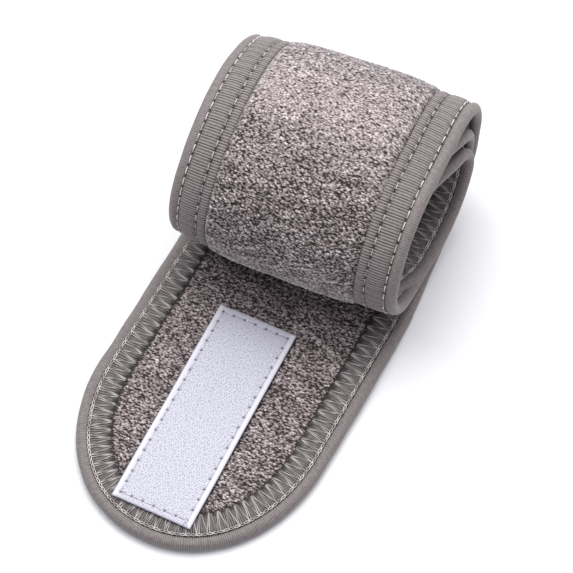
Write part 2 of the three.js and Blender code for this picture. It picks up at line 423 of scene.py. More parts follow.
@dataclass(frozen=True)
class EdgeRun:
    """A run along the band's edge: a straight side, or the whole way round the rounded end."""

    start: float
    end: float
    side: Side | None = None
    points: np.ndarray | None = None

    @classmethod
    def along_side(cls, side: Side, stretch: Stretch) -> "EdgeRun":
        """A run on one side of a stretch."""
        return cls(*PATH.limits(stretch), side=side)

    @classmethod
    def round_tip(cls) -> "EdgeRun":
        """The run round the rounded end, from the left split to the right split."""
        right = PATH.end_outline(0.0, 400)
        corner = np.array([[PATH.half_width, PATH.split_y]])
        right = np.concatenate([right, corner])
        left = right[1:] * (-1, 1)
        points = np.concatenate([left[::-1], right])
        length = np.hypot(*np.diff(points, axis=0).T).sum()
        return cls(PATH.split_y - length / 2, PATH.split_y + length / 2, points=points)

    def flat(self, run: np.ndarray, inset: np.ndarray) -> tuple[np.ndarray, np.ndarray]:
        """Flat place on the band.

        Args:
            run: Distance along this run, from its start to its end.
            inset: Distance in from the edge.

        Returns:
            Places across and along the band.
        """
        if self.points is None:
            across = self.side.value * (PATH.half_width - inset)
            return np.broadcast_arrays(across, run)
        steps = np.hypot(*np.diff(self.points, axis=0).T)
        lengths = self.start + np.concatenate([[0], np.cumsum(steps)])
        across, along = (np.interp(run, lengths, self.points[:, k]) for k in (0, 1))
        a = [np.interp(run - 0.4, lengths, self.points[:, k]) for k in (0, 1)]
        b = [np.interp(run + 0.4, lengths, self.points[:, k]) for k in (0, 1)]
        size = np.hypot(b[0] - a[0], b[1] - a[1])
        return across - (b[1] - a[1]) / size * inset, along + (b[0] - a[0]) / size * inset

    def place(self, run: np.ndarray, inset: np.ndarray, depth: np.ndarray) -> np.ndarray:
        """Rolled-up place.

        Args:
            run: Distance along this run.
            inset: Distance in from the edge.
            depth: Distance from the outer face inwards.

        Returns:
            Points of the row frame, in millimetres.
        """
        return PATH.place(*self.flat(run, inset), depth)

    def outward(self, run: np.ndarray, inset: np.ndarray) -> np.ndarray:
        """Unit vectors out of the outer face, at the same places as flat."""
        return PATH.outward(*self.flat(run, inset))


def runs_of(stretch: Stretch) -> list[EdgeRun]:
    """The edge runs of one stretch of the band."""
    if stretch is Stretch.FRONT:
        return [EdgeRun.round_tip()]
    return [EdgeRun.along_side(side, stretch) for side in Side]


# ---- meshes ----------------------------------------------------------------------------


def make_object(name: str, points: np.ndarray, faces: list, material: bpy.types.Material,
                uv: np.ndarray | None = None, **values: np.ndarray) -> bpy.types.Object:
    """Make a mesh object from points in millimetres.

    Args:
        name: The piece's name.
        points: Points in millimetres, one to a row.
        faces: Faces as lists of point numbers.
        material: The finish.
        uv: Flat place of each point, in millimetres, for the weave.
        **values: Named numbers for each point.

    Returns:
        The object, smooth shaded, with its faces pointing out.
    """
    mesh = bpy.data.meshes.new(name)
    mesh.from_pydata((points * MM).tolist(), [], faces)
    if uv is not None:
        layer = mesh.uv_layers.new(name="flat_cloth")
        corners = np.empty(len(mesh.loops), np.int32)
        mesh.loops.foreach_get("vertex_index", corners)
        layer.data.foreach_set("uv", (uv[corners] * MM).astype(np.float32).ravel())
    for key, number in values.items():
        attribute = mesh.attributes.new(key, "FLOAT", "POINT")
        attribute.data.foreach_set("value", number.astype(np.float32))
    shell = bmesh.new()
    shell.from_mesh(mesh)
    bmesh.ops.recalc_face_normals(shell, faces=shell.faces)
    shell.to_mesh(mesh)
    shell.free()
    mesh.shade_smooth()
    mesh.materials.append(material)
    piece = bpy.data.objects.new(name, mesh)
    bpy.context.scene.collection.objects.link(piece)
    return piece


def grid_faces(rows: int, columns: int, first: int = 0, step: int = 1) -> list:
    """Quads of a grid of points, or of every step-th point of it.

    Args:
        rows: Rows of the grid.
        columns: Columns of the grid.
        first: Number of the grid's first point.
        step: Points from one corner of a quad to the next.

    Returns:
        Faces as lists of point numbers.
    """
    i, j = np.meshgrid(np.arange(0, rows - 1, step), np.arange(0, columns - 1, step), indexing="ij")
    a = first + i * columns + j
    b = a + step
    d = a + step * columns
    return np.stack([a, b, d + step, d], -1).reshape(-1, 4).tolist()


def even_count(length: float, step: float, multiple: int) -> int:
    """Number of points along a length, so that the steps come in whole groups.

    Args:
        length: Length to cover.
        step: Wanted size of a step.
        multiple: Steps in a group.

    Returns:
        Number of steps plus one.
    """
    return max(1, round(length / step / multiple)) * multiple + 1


def join_cloth_back(top: np.ndarray, back: np.ndarray, rows: int, columns: int,
                    coarse: int) -> tuple[np.ndarray, list, np.ndarray]:
    """Close a grid of cloth with a coarser back and walls.

    Args:
        top: Points of the pile face, row by row.
        back: Points of the back at the same places.
        rows: Rows of the grid.
        columns: Columns of the grid.
        coarse: The back uses every so many points.

    Returns:
        All points and faces, and which of the grid's places the back's points stand on.
    """
    keep_rows = np.arange(0, rows, coarse)
    keep_columns = np.arange(0, columns, coarse)
    kept = (keep_rows[:, None] * columns + keep_columns).ravel()
    first = rows * columns
    wide = len(keep_columns)
    faces = grid_faces(rows, columns) + grid_faces(len(keep_rows), wide, first)
    for edge, across in ((0, True), (rows - 1, True), (0, False), (columns - 1, False)):
        count = len(keep_columns) if across else len(keep_rows)
        for k in range(count - 1):
            span = np.arange(k * coarse, (k + 1) * coarse + 1)
            if across:
                upper = edge * columns + span
                row = edge // coarse
                lower = [first + row * wide + k + 1, first + row * wide + k]
            else:
                upper = span * columns + edge
                column = edge // coarse
                lower = [first + (k + 1) * wide + column, first + k * wide + column]
            faces.append(upper.tolist() + lower)
    return np.concatenate([top, back[kept]]), faces, kept


# ---- finishes --------------------------------------------------------------------------


def cloth_material(name: str) -> tuple[bpy.types.Material, bpy.types.Node]:
    """A material with its Principled shader ready to dress."""
    material = bpy.data.materials.new(name)
    material.use_nodes = True
    shader = material.node_tree.nodes["Principled BSDF"]
    return material, shader


@dataclass(frozen=True)
class TerryFinish:
    """Looped microfibre terry: matt, with painted shade on the ground between the loops and painted light
    on the loop tips.
    """

    # ground is painted shade between the loops; tip is painted light on the loop tips.
    ground: str = "#332b2b"
    side: str = "#a99c9c"
    tip: str = "#fbf3f3"
    roughness: float = 0.95
    sheen: float = 0.8
    bundle: float = 0.65  # size of one bundle of filaments

    def build(self) -> bpy.types.Material:
        """Make the material."""
        material, shader = cloth_material("microfibre_terry")
        tree = material.node_tree
        pile = add_node(tree, "ShaderNodeAttribute", attribute_name="pile")
        flat = add_node(tree, "ShaderNodeUVMap", uv_map="flat_cloth")
        drawn = add_node(tree, "ShaderNodeVectorMath", {0: flat.outputs["UV"], 1: (0.65, 1.25, 1.0)},
                         operation="MULTIPLY")
        fine = add_node(tree, "ShaderNodeTexVoronoi", {"Vector": drawn.outputs[0],
                        "Scale": 1 / (self.bundle * MM)})
        blotch = add_node(tree, "ShaderNodeTexNoise", {"Vector": flat.outputs["UV"],
                          "Scale": 90.0, "Detail": 2.0})
        # The colour follows pile height and bundle edges: painted shade, darkest on the ground between
        # loops, and painted light, palest on the loop tips.
        lifted = add_node(tree, "ShaderNodeMath", {0: fine.outputs["Distance"], 1: -0.95,
                          2: pile.outputs["Fac"]}, operation="MULTIPLY_ADD")
        height = add_node(tree, "ShaderNodeMath", {0: blotch.outputs["Fac"], 1: 0.12,
                          2: lifted.outputs[0]}, operation="MULTIPLY_ADD")
        spread = add_node(tree, "ShaderNodeMapRange", {"Value": height.outputs[0], "From Min": -0.3,
                          "From Max": 0.8})
        ramp = add_node(tree, "ShaderNodeValToRGB", {"Fac": spread.outputs[0]})
        ramp.color_ramp.elements[0].position = 0.05
        ramp.color_ramp.elements[0].color = linear(self.ground)
        ramp.color_ramp.elements[1].position = 0.95
        ramp.color_ramp.elements[1].color = linear(self.tip)
        ramp.color_ramp.elements.new(0.5).color = linear(self.side)
        bump = add_node(tree, "ShaderNodeBump", {"Height": fine.outputs["Distance"],
                        "Distance": 0.25 * MM, "Strength": 0.6}, invert=True)
        tree.links.new(ramp.outputs["Color"], shader.inputs["Base Color"])
        tree.links.new(bump.outputs["Normal"], shader.inputs["Normal"])
        shader.inputs["Roughness"].default_value = self.roughness
        shader.inputs["Specular IOR Level"].default_value = 0.25
        shader.inputs["Sheen Weight"].default_value = self.sheen
        shader.inputs["Sheen Roughness"].default_value = 0.4
        return material


@dataclass(frozen=True)
class BindingFinish:
    """Ribbed knit binding: fine cross ribs with painted shade in their grooves, a soft lustre, and needle
    holes painted dark as shade.
    """

    rib: str = "#938a89"
    # groove and hole are painted shade: in the grooves between the ribs and in the needle holes.
    groove: str = "#363130"
    hole: str = "#1f1b1a"
    roughness: float = 0.7
    course_pitch: float = 0.8

    def build(self) -> bpy.types.Material:
        """Make the material."""
        material, shader = cloth_material("ribbed_knit_binding")
        tree = material.node_tree
        flat = add_node(tree, "ShaderNodeUVMap", uv_map="flat_cloth")
        place = add_node(tree, "ShaderNodeSeparateXYZ", {0: flat.outputs["UV"]})
        rib = add_node(tree, "ShaderNodeAttribute", attribute_name="rib")
        hole = add_node(tree, "ShaderNodeAttribute", attribute_name="hole")
        course = add_node(tree, "ShaderNodeMath", {0: place.outputs["Y"],
                          1: 2 * math.pi / (self.course_pitch * MM)}, operation="MULTIPLY")
        wave = add_node(tree, "ShaderNodeMath", {0: course.outputs[0]}, operation="SINE")
        blotch = add_node(tree, "ShaderNodeTexNoise", {"Vector": flat.outputs["UV"],
                          "Scale": 700.0, "Detail": 3.0})
        mottled = add_node(tree, "ShaderNodeMath", {0: blotch.outputs["Fac"], 1: 0.5,
                           2: rib.outputs["Fac"]}, operation="MULTIPLY_ADD")
        tone = add_node(tree, "ShaderNodeMath", {0: wave.outputs[0], 1: 0.15,
                        2: mottled.outputs[0]}, operation="MULTIPLY_ADD")
        # Groove colour to rib colour: painted shade in the grooves; the rib attribute also brings painted
        # shade along the needle rows and on the inner leg.
        ramp = add_node(tree, "ShaderNodeValToRGB", {"Fac": tone.outputs[0]})
        ramp.color_ramp.elements[0].position = 0.28
        ramp.color_ramp.elements[0].color = linear(self.groove)
        ramp.color_ramp.elements[1].position = 1.0
        ramp.color_ramp.elements[1].color = linear(self.rib)
        # Needle holes painted near black: painted shade inside each hole.
        mix = add_node(tree, "ShaderNodeMix", {"Factor": hole.outputs["Fac"]}, data_type="RGBA")
        tree.links.new(ramp.outputs["Color"], mix.inputs["A"])
        mix.inputs["B"].default_value = linear(self.hole)
        bump = add_node(tree, "ShaderNodeBump", {"Height": tone.outputs[0],
                        "Distance": 0.12 * MM, "Strength": 0.7})
        tree.links.new(mix.outputs["Result"], shader.inputs["Base Color"])
        tree.links.new(bump.outputs["Normal"], shader.inputs["Normal"])
        shader.inputs["Roughness"].default_value = self.roughness
        shader.inputs["Specular IOR Level"].default_value = 0.3
        shader.inputs["Sheen Weight"].default_value = 0.15
        return material


@dataclass(frozen=True)
class ThreadFinish:
    """Spun polyester thread: plied, with a slight shine along each ply."""

    name: str
    colour: str
    shade: str
    roughness: float = 0.55
    ply_pitch: float = 0.5

    def build(self) -> bpy.types.Material:
        """Make the material."""
        material, shader = cloth_material(self.name)
        tree = material.node_tree
        place = add_node(tree, "ShaderNodeTexCoord")
        plies = add_node(tree, "ShaderNodeTexWave", {"Vector": place.outputs["Object"],
                         "Scale": 1 / (self.ply_pitch * MM * 20), "Distortion": 1.5},
                         bands_direction="DIAGONAL")
        # Bands from the shade colour to the thread colour: painted shade between the plies and painted
        # light along each ply.
        ramp = add_node(tree, "ShaderNodeValToRGB", {"Fac": plies.outputs["Fac"]})
        ramp.color_ramp.elements[0].color = linear(self.shade)
        ramp.color_ramp.elements[1].color = linear(self.colour)
        bump = add_node(tree, "ShaderNodeBump", {"Height": plies.outputs["Fac"],
                        "Distance": 0.05 * MM, "Strength": 0.5})
        tree.links.new(ramp.outputs["Color"], shader.inputs["Base Color"])
        tree.links.new(bump.outputs["Normal"], shader.inputs["Normal"])
        shader.inputs["Roughness"].default_value = self.roughness
        return material


@dataclass(frozen=True)
class HookTapeFinish:
    """Woven nylon tape: close plain weave, cool and pale, with paler selvedges."""

    name: str = "woven_nylon_tape"
    colour: str = "#c6c5d1"
    shade: str = "#c1c0cc"
    selvedge: str = "#d9d8e2"
    hole: str = "#2f2b33"
    roughness: float = 0.5
    yarn_pitch: float = 0.45

    def build(self) -> bpy.types.Material:
        """Make the material."""
        material, shader = cloth_material(self.name)
        tree = material.node_tree
        flat = add_node(tree, "ShaderNodeUVMap", uv_map="flat_cloth")
        weave = add_node(tree, "ShaderNodeTexVoronoi", {"Vector": flat.outputs["UV"],
                         "Scale": 1 / (self.yarn_pitch * MM), "Randomness": 0.35})
        # Slightly darker toward the edge of each weave cell: painted shade between the yarns.
        ramp = add_node(tree, "ShaderNodeValToRGB", {"Fac": weave.outputs["Distance"]})
        ramp.color_ramp.elements[0].color = linear(self.colour)
        ramp.color_ramp.elements[1].color = linear(self.shade)
        border = add_node(tree, "ShaderNodeAttribute", attribute_name="selvedge")
        edged = add_node(tree, "ShaderNodeMix", {"Factor": border.outputs["Fac"]}, data_type="RGBA")
        tree.links.new(ramp.outputs["Color"], edged.inputs["A"])
        edged.inputs["B"].default_value = linear(self.selvedge)
        # Needle holes painted dark: painted shade inside each hole.
        hole = add_node(tree, "ShaderNodeAttribute", attribute_name="hole")
        mix = add_node(tree, "ShaderNodeMix", {"Factor": hole.outputs["Fac"]}, data_type="RGBA")
        tree.links.new(edged.outputs["Result"], mix.inputs["A"])
        mix.inputs["B"].default_value = linear(self.hole)
        bump = add_node(tree, "ShaderNodeBump", {"Height": weave.outputs["Distance"],
                        "Distance": 0.1 * MM, "Strength": 0.35}, invert=True)
        tree.links.new(mix.outputs["Result"], shader.inputs["Base Color"])
        tree.links.new(bump.outputs["Normal"], shader.inputs["Normal"])
        shader.inputs["Roughness"].default_value = self.roughness
        shader.inputs["Sheen Weight"].default_value = 0.1
        return material


@dataclass(frozen=True)
class HookFinish:
    """Drawn nylon hooks: half matt, a faint grain over the pale tape."""

    colour: str = "#c8c7d3"
    shade: str = "#c4c3cf"
    roughness: float = 0.5

    def build(self) -> bpy.types.Material:
        """Make the material."""
        material, shader = cloth_material("nylon_hooks")
        tree = material.node_tree
        place = add_node(tree, "ShaderNodeTexCoord")
        mottle = add_node(tree, "ShaderNodeTexNoise", {"Vector": place.outputs["Object"],
                          "Scale": 500.0, "Detail": 2.0})
        ramp = add_node(tree, "ShaderNodeValToRGB", {"Fac": mottle.outputs["Fac"]})
        ramp.color_ramp.elements[0].color = linear(self.shade)
        ramp.color_ramp.elements[1].color = linear(self.colour)
        tree.links.new(ramp.outputs["Color"], shader.inputs["Base Color"])
        shader.inputs["Roughness"].default_value = self.roughness
        return material


# ---- bent rods laid on points: stitches, chain links and hooks --------------------------


@dataclass
class RodTree:
    """Geometry Nodes tree that lays one bent rod of thread or nylon on every point."""

    name: str = "bent_rods"

    @staticmethod
    def read(tree: bpy.types.NodeTree, label: str, kind: str) -> bpy.types.NodeSocket:
        """Output socket that reads a named attribute of the points.

        Args:
            tree: The tree.
            label: Name of the attribute.
            kind: Its data type.

        Returns:
            The socket.
        """
        node = add_node(tree, "GeometryNodeInputNamedAttribute", {"Name": label}, data_type=kind)
        return node.outputs["Attribute"]

    def build(self) -> bpy.types.NodeTree:
        """Make the tree. Its points carry the attributes along, up and span."""
        tree = bpy.data.node_groups.new(self.name, "GeometryNodeTree")
        wanted = (("Geometry", "NodeSocketGeometry"), ("Start", "NodeSocketVector"),
                  ("Middle", "NodeSocketVector"), ("End", "NodeSocketVector"),
                  ("Radius", "NodeSocketFloat"), ("Sides", "NodeSocketInt"),
                  ("Steps", "NodeSocketInt"), ("Finish", "NodeSocketMaterial"))
        for label, kind in wanted:
            tree.interface.new_socket(label, in_out="INPUT", socket_type=kind)
        tree.interface.new_socket("Geometry", in_out="OUTPUT", socket_type="NodeSocketGeometry")
        given = add_node(tree, "NodeGroupInput").outputs
        bend = add_node(tree, "GeometryNodeCurveQuadraticBezier", {"Resolution": given["Steps"],
                        "Start": given["Start"], "Middle": given["Middle"], "End": given["End"]})
        ring = add_node(tree, "GeometryNodeCurvePrimitiveCircle", {"Resolution": given["Sides"],
                        "Radius": given["Radius"]})
        rod = add_node(tree, "GeometryNodeCurveToMesh", {"Curve": bend.outputs[0],
                       "Profile Curve": ring.outputs[0], "Fill Caps": True})
        along = self.read(tree, "along", "FLOAT_VECTOR")
        up = self.read(tree, "up", "FLOAT_VECTOR")
        span = self.read(tree, "span", "FLOAT")
        turn = add_node(tree, "FunctionNodeAxesToRotation", {"Primary Axis": along,
                        "Secondary Axis": up}, primary_axis="X", secondary_axis="Z")
        size = add_node(tree, "ShaderNodeCombineXYZ", {"X": span, "Y": 1.0, "Z": 1.0})
        lay = add_node(tree, "GeometryNodeInstanceOnPoints", {"Points": given["Geometry"],
                       "Instance": rod.outputs[0], "Rotation": turn.outputs[0], "Scale": size.outputs[0]})
        real = add_node(tree, "GeometryNodeRealizeInstances", {"Geometry": lay.outputs[0]})
        even = add_node(tree, "GeometryNodeSetShadeSmooth", {"Geometry": real.outputs[0]})
        dressed = add_node(tree, "GeometryNodeSetMaterial", {"Geometry": even.outputs[0],
                           "Material": given["Finish"]})
        add_node(tree, "NodeGroupOutput", {"Geometry": dressed.outputs[0]})
        return tree


ROD_TREE = RodTree().build()


@dataclass
class Rods:
    """A set of equal bent rods, each between two points. Sizes are in millimetres."""

    radius: float
    rise: float = 0.0
    bow: float = 0.0
    sides: int = 6
    steps: int = 5
    hook: tuple | None = None
    starts: list = field(default_factory=list)
    ends: list = field(default_factory=list)
    ups: list = field(default_factory=list)

    def add(self, starts: np.ndarray, ends: np.ndarray, ups: np.ndarray) -> None:
        """Add rods to the set.

        Args:
            starts: Where each rod starts.
            ends: Where each rod ends.
            ups: Which way the top of each rod faces.
        """
        self.starts.append(np.asarray(starts, float))
        self.ends.append(np.asarray(ends, float))
        self.ups.append(np.asarray(ups, float))

    def build(self, name: str, material: bpy.types.Material) -> bpy.types.Object:
        """Lay the rods by Geometry Nodes and keep the result as a plain mesh.

        Args:
            name: The piece's name.
            material: The finish.

        Returns:
            The finished object.
        """
        starts, ends, ups = (np.concatenate(part) for part in (self.starts, self.ends, self.ups))
        reach = ends - starts
        span = np.linalg.norm(reach, axis=1)
        mesh = bpy.data.meshes.new(f"{name}_points")
        mesh.from_pydata(((starts + ends) / 2 * MM).tolist(), [], [])
        for label, values in (("along", reach / span[:, None]), ("up", ups)):
            attribute = mesh.attributes.new(label, "FLOAT_VECTOR", "POINT")
            attribute.data.foreach_set("vector", values.astype(np.float32).ravel())
        attribute = mesh.attributes.new("span", "FLOAT", "POINT")
        lengths = np.ones_like(span) if self.hook else span * MM
        attribute.data.foreach_set("value", lengths.astype(np.float32))
        points = bpy.data.objects.new(f"{name}_points", mesh)
        bpy.context.scene.collection.objects.link(points)
        modifier = points.modifiers.new("rods", "NODES")
        modifier.node_group = ROD_TREE
        straight = ((-0.5, 0, 0), (0, self.bow * MM, self.rise * MM), (0.5, 0, 0))
        bend = tuple(tuple(c * MM for c in point) for point in self.hook) if self.hook else straight
        values = {"Start": bend[0], "Middle": bend[1], "End": bend[2], "Radius": self.radius * MM,
                  "Sides": self.sides, "Steps": self.steps, "Finish": material}
        for item in ROD_TREE.interface.items_tree:
            if item.in_out == "INPUT" and item.name in values:
                modifier[item.identifier] = values[item.name]
        graph = bpy.context.evaluated_depsgraph_get()
        result = bpy.data.meshes.new_from_object(points.evaluated_get(graph), depsgraph=graph)
        bpy.data.objects.remove(points)
        for label in ("along", "up", "span"):
            if label in result.attributes:
                result.attributes.remove(result.attributes[label])
        if not result.materials:
            result.materials.append(material)
        piece = bpy.data.objects.new(name, result)
        bpy.context.scene.collection.objects.link(piece)
        return piece


# ---- moving the pieces -----------------------------------------------------------------


@dataclass(frozen=True)
class Motion:
    """How a stretch of the band moves: rear and core pieces go with the roll body; front and middle pieces
    are baked where they lie.
    """

    fold_bend: float = 5.0
    lift_bend: float = 6.0

    def apply(self, piece: bpy.types.Object, stretch: Stretch) -> None:
        """Attach a rear or core piece to the roll body; bake any other piece where it lies.

        Args:
            piece: The finished piece.
            stretch: Its stretch.
        """
        if stretch in (Stretch.REAR, Stretch.CORE):
            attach(piece, "roll")
        elif stretch is Stretch.FRONT:
            near = (0, (PATH.fold_y - self.fold_bend) * MM, 0.0046)
            far = (0, (PATH.fold_y + self.fold_bend) * MM, 0.0046)
            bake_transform(piece)
        else:
            lift = PATH.along_at(PATH.lift_turn)
            near = PATH.place(0.0, lift - self.lift_bend, 2.3) * MM
            far = PATH.place(0.0, lift + self.lift_bend, 2.3) * MM
            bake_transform(piece)


MOTION = Motion()


# ---- sub-assemblies --------------------------------------------------------------------


@dataclass
class TerryPly:
    """One ply of terry. Its pile face shows between the legs of the binding."""

    face: Face
    material: bpy.types.Material
    inset: float
    backing: float
    surface: float
    loop_pitch: tuple = (1.4, 0.74)
    loop_height: float = 0.85
    edge_fade: float = 1.3
    coarse: int = 6

    def step(self, stretch: Stretch) -> float:
        """Spacing of the mesh on a stretch: fine where the face shows.

        Args:
            stretch: The stretch.

        Returns:
            Spacing in millimetres.
        """
        steps = {
            Face.OUTER: {Stretch.FRONT: 0.7, Stretch.MIDDLE: 0.55, Stretch.REAR: 0.345, Stretch.CORE: 1.2},
            Face.INNER: {Stretch.FRONT: 0.34, Stretch.MIDDLE: 1.2, Stretch.REAR: 0.75, Stretch.CORE: 0.55},
        }
        return steps[self.face][stretch]

    def rows(self, stretch: Stretch) -> tuple[np.ndarray, np.ndarray]:
        """Rows of the mesh.

        Args:
            stretch: The stretch.

        Returns:
            Places along the band, and half the field's width at each.
        """
        low, high = PATH.limits(stretch)
        step = self.step(stretch)
        half = PATH.half_width - self.inset
        along = np.linspace(low, high, even_count(high - low, step, self.coarse))
        if stretch is not Stretch.FRONT:
            return along, np.full(len(along), half)
        end = PATH.end_outline(self.inset, even_count(70, step, 1))
        end = end[end[:, 0] > 1.0]
        side = np.linspace(end[-1, 1], high, even_count(high - end[-1, 1], step, 1))[1:]
        along = np.concatenate([end[:, 1], side])
        width = np.concatenate([end[:, 0], np.full(len(side), half)])
        keep = np.ones(len(along), bool)
        keep[1 : 1 + (len(along) - 1) % self.coarse] = False
        return along[keep], width[keep]

    def pile(self, across: np.ndarray, along: np.ndarray, reach: np.ndarray) -> np.ndarray:
        """Pile height, falling off at the field's edge. The same values set the colour, so the fall-off
        paints shade along the binding and the lift near the roll's top paints light there.

        Args:
            across: Places across the band.
            along: Places along it.
            reach: Distance in from the field's edge.

        Returns:
            Values from 0 to 1.
        """
        loops = NOISE.loops(across, along, self.loop_pitch, 10 if self.face is Face.OUTER else 20)
        streaks = NOISE.patches(across + 0.6 * along, along + 0.25 * across, (8.0, 1.7), 3)
        height = loops * (0.62 + 0.38 * streaks)
        if self.face is Face.OUTER:
            # Near the roll's top the pile is pulled toward a middle height: flatter loops, and a lighter,
            # even colour there as painted light.
            top_flattening_and_painted_light = np.exp(-(((PATH.turn_at(along) - 0.47) / 0.08) ** 2))
            height = height + 0.5 * top_flattening_and_painted_light * (0.72 - height)
        # The fall-off at the field's edge also darkens the colour: painted shade where the terry meets the
        # binding.
        return np.clip(height, 0, 1) * smooth(reach, -0.2, self.edge_fade)

    def reach_in(self, across: np.ndarray, along: np.ndarray, width: np.ndarray) -> np.ndarray:
        """Distance in from the field's edge.

        Args:
            across: Places across the band, a grid.
            along: Places along it, a grid.
            width: Half the field's width at each row.

        Returns:
            Distances, a grid.
        """
        side = width[:, None] - np.abs(across)
        end = PATH.end_outline(self.inset, 120)
        near_end = along < end[-1, 1]
        reach = side.copy()
        for row in np.nonzero(near_end[:, 0])[0]:
            gap = np.hypot(np.abs(across[row])[:, None] - end[:, 0], along[row, 0] - end[:, 1])
            reach[row] = np.minimum(side[row], gap.min(1))
        return reach

    def loft(self, across: np.ndarray, along: np.ndarray) -> np.ndarray:
        """How far the ground of the pile stands out past the frame's surface.

        Args:
            across: Places across the band.
            along: Places along it.

        Returns:
            Distances, below zero where it is pressed in.
        """
        turn = PATH.turn_at(along)
        share = across / (PATH.half_width - self.inset)
        if self.face is Face.OUTER:
            wound = smooth(turn, 0.02, 0.12) * (1 - smooth(turn, 0.99, 1.04))
            waves = NOISE.patches(across, along, (26.0, 17.0), 5) - 0.5
            puff = 1.3 + 1.6 * np.exp(-(((turn - 0.5) / 0.12) ** 2))
            return wound * (puff * (1 - share**4) + 0.6 * waves + 0.5) - 0.35 * (1 - wound)
        return 0.15 * (1 - share**4) - 0.3 * smooth(turn, 0.0, 0.1)

    def build(self, stretch: Stretch) -> bpy.types.Object:
        """Make one stretch of the ply.

        Args:
            stretch: The stretch.

        Returns:
            The finished piece.
        """
        along, width = self.rows(stretch)
        columns = even_count(2 * width.max(), self.step(stretch), self.coarse)
        share = np.linspace(-1, 1, columns)
        across = width[:, None] * share
        lengthwise = np.broadcast_to(along[:, None], across.shape)
        reach = self.reach_in(across, lengthwise, width)
        pile = self.pile(across, lengthwise, reach) * self.pressed(across, lengthwise)
        stand = self.loft(across, lengthwise) * smooth(reach, 0, 2.0) + self.loop_height * (pile - 0.55)
        sign = -1 if self.face is Face.OUTER else 1
        top = PATH.place(across, lengthwise, self.surface + sign * stand).reshape(-1, 3)
        back = PATH.place(across, lengthwise, self.backing).reshape(-1, 3)
        points, faces, kept = join_cloth_back(top, back, len(along), columns, self.coarse)
        uv = np.stack([across.ravel(), lengthwise.ravel()], -1)
        uv = np.concatenate([uv, uv[kept]])
        tone = np.concatenate([pile.ravel(), np.full(len(kept), 0.3)])
        piece = make_object(f"{stretch.value}_{self.face.value}_terry", points, faces,
                            self.material, uv, pile=tone)
        MOTION.apply(piece, stretch)
        return piece

    def pressed(self, across: np.ndarray, along: np.ndarray) -> np.ndarray:
        """Share of the pile left standing: the hook tape presses the inner pile flat."""
        if self.face is Face.OUTER:
            return np.ones_like(across)
        x, y = TAPE.to_tape(across, along)
        outside = np.maximum(np.abs(x) - TAPE.width / 2, np.abs(y) - TAPE.length / 2)
        return 0.2 + 0.8 * smooth(outside, -0.6, 0.7)


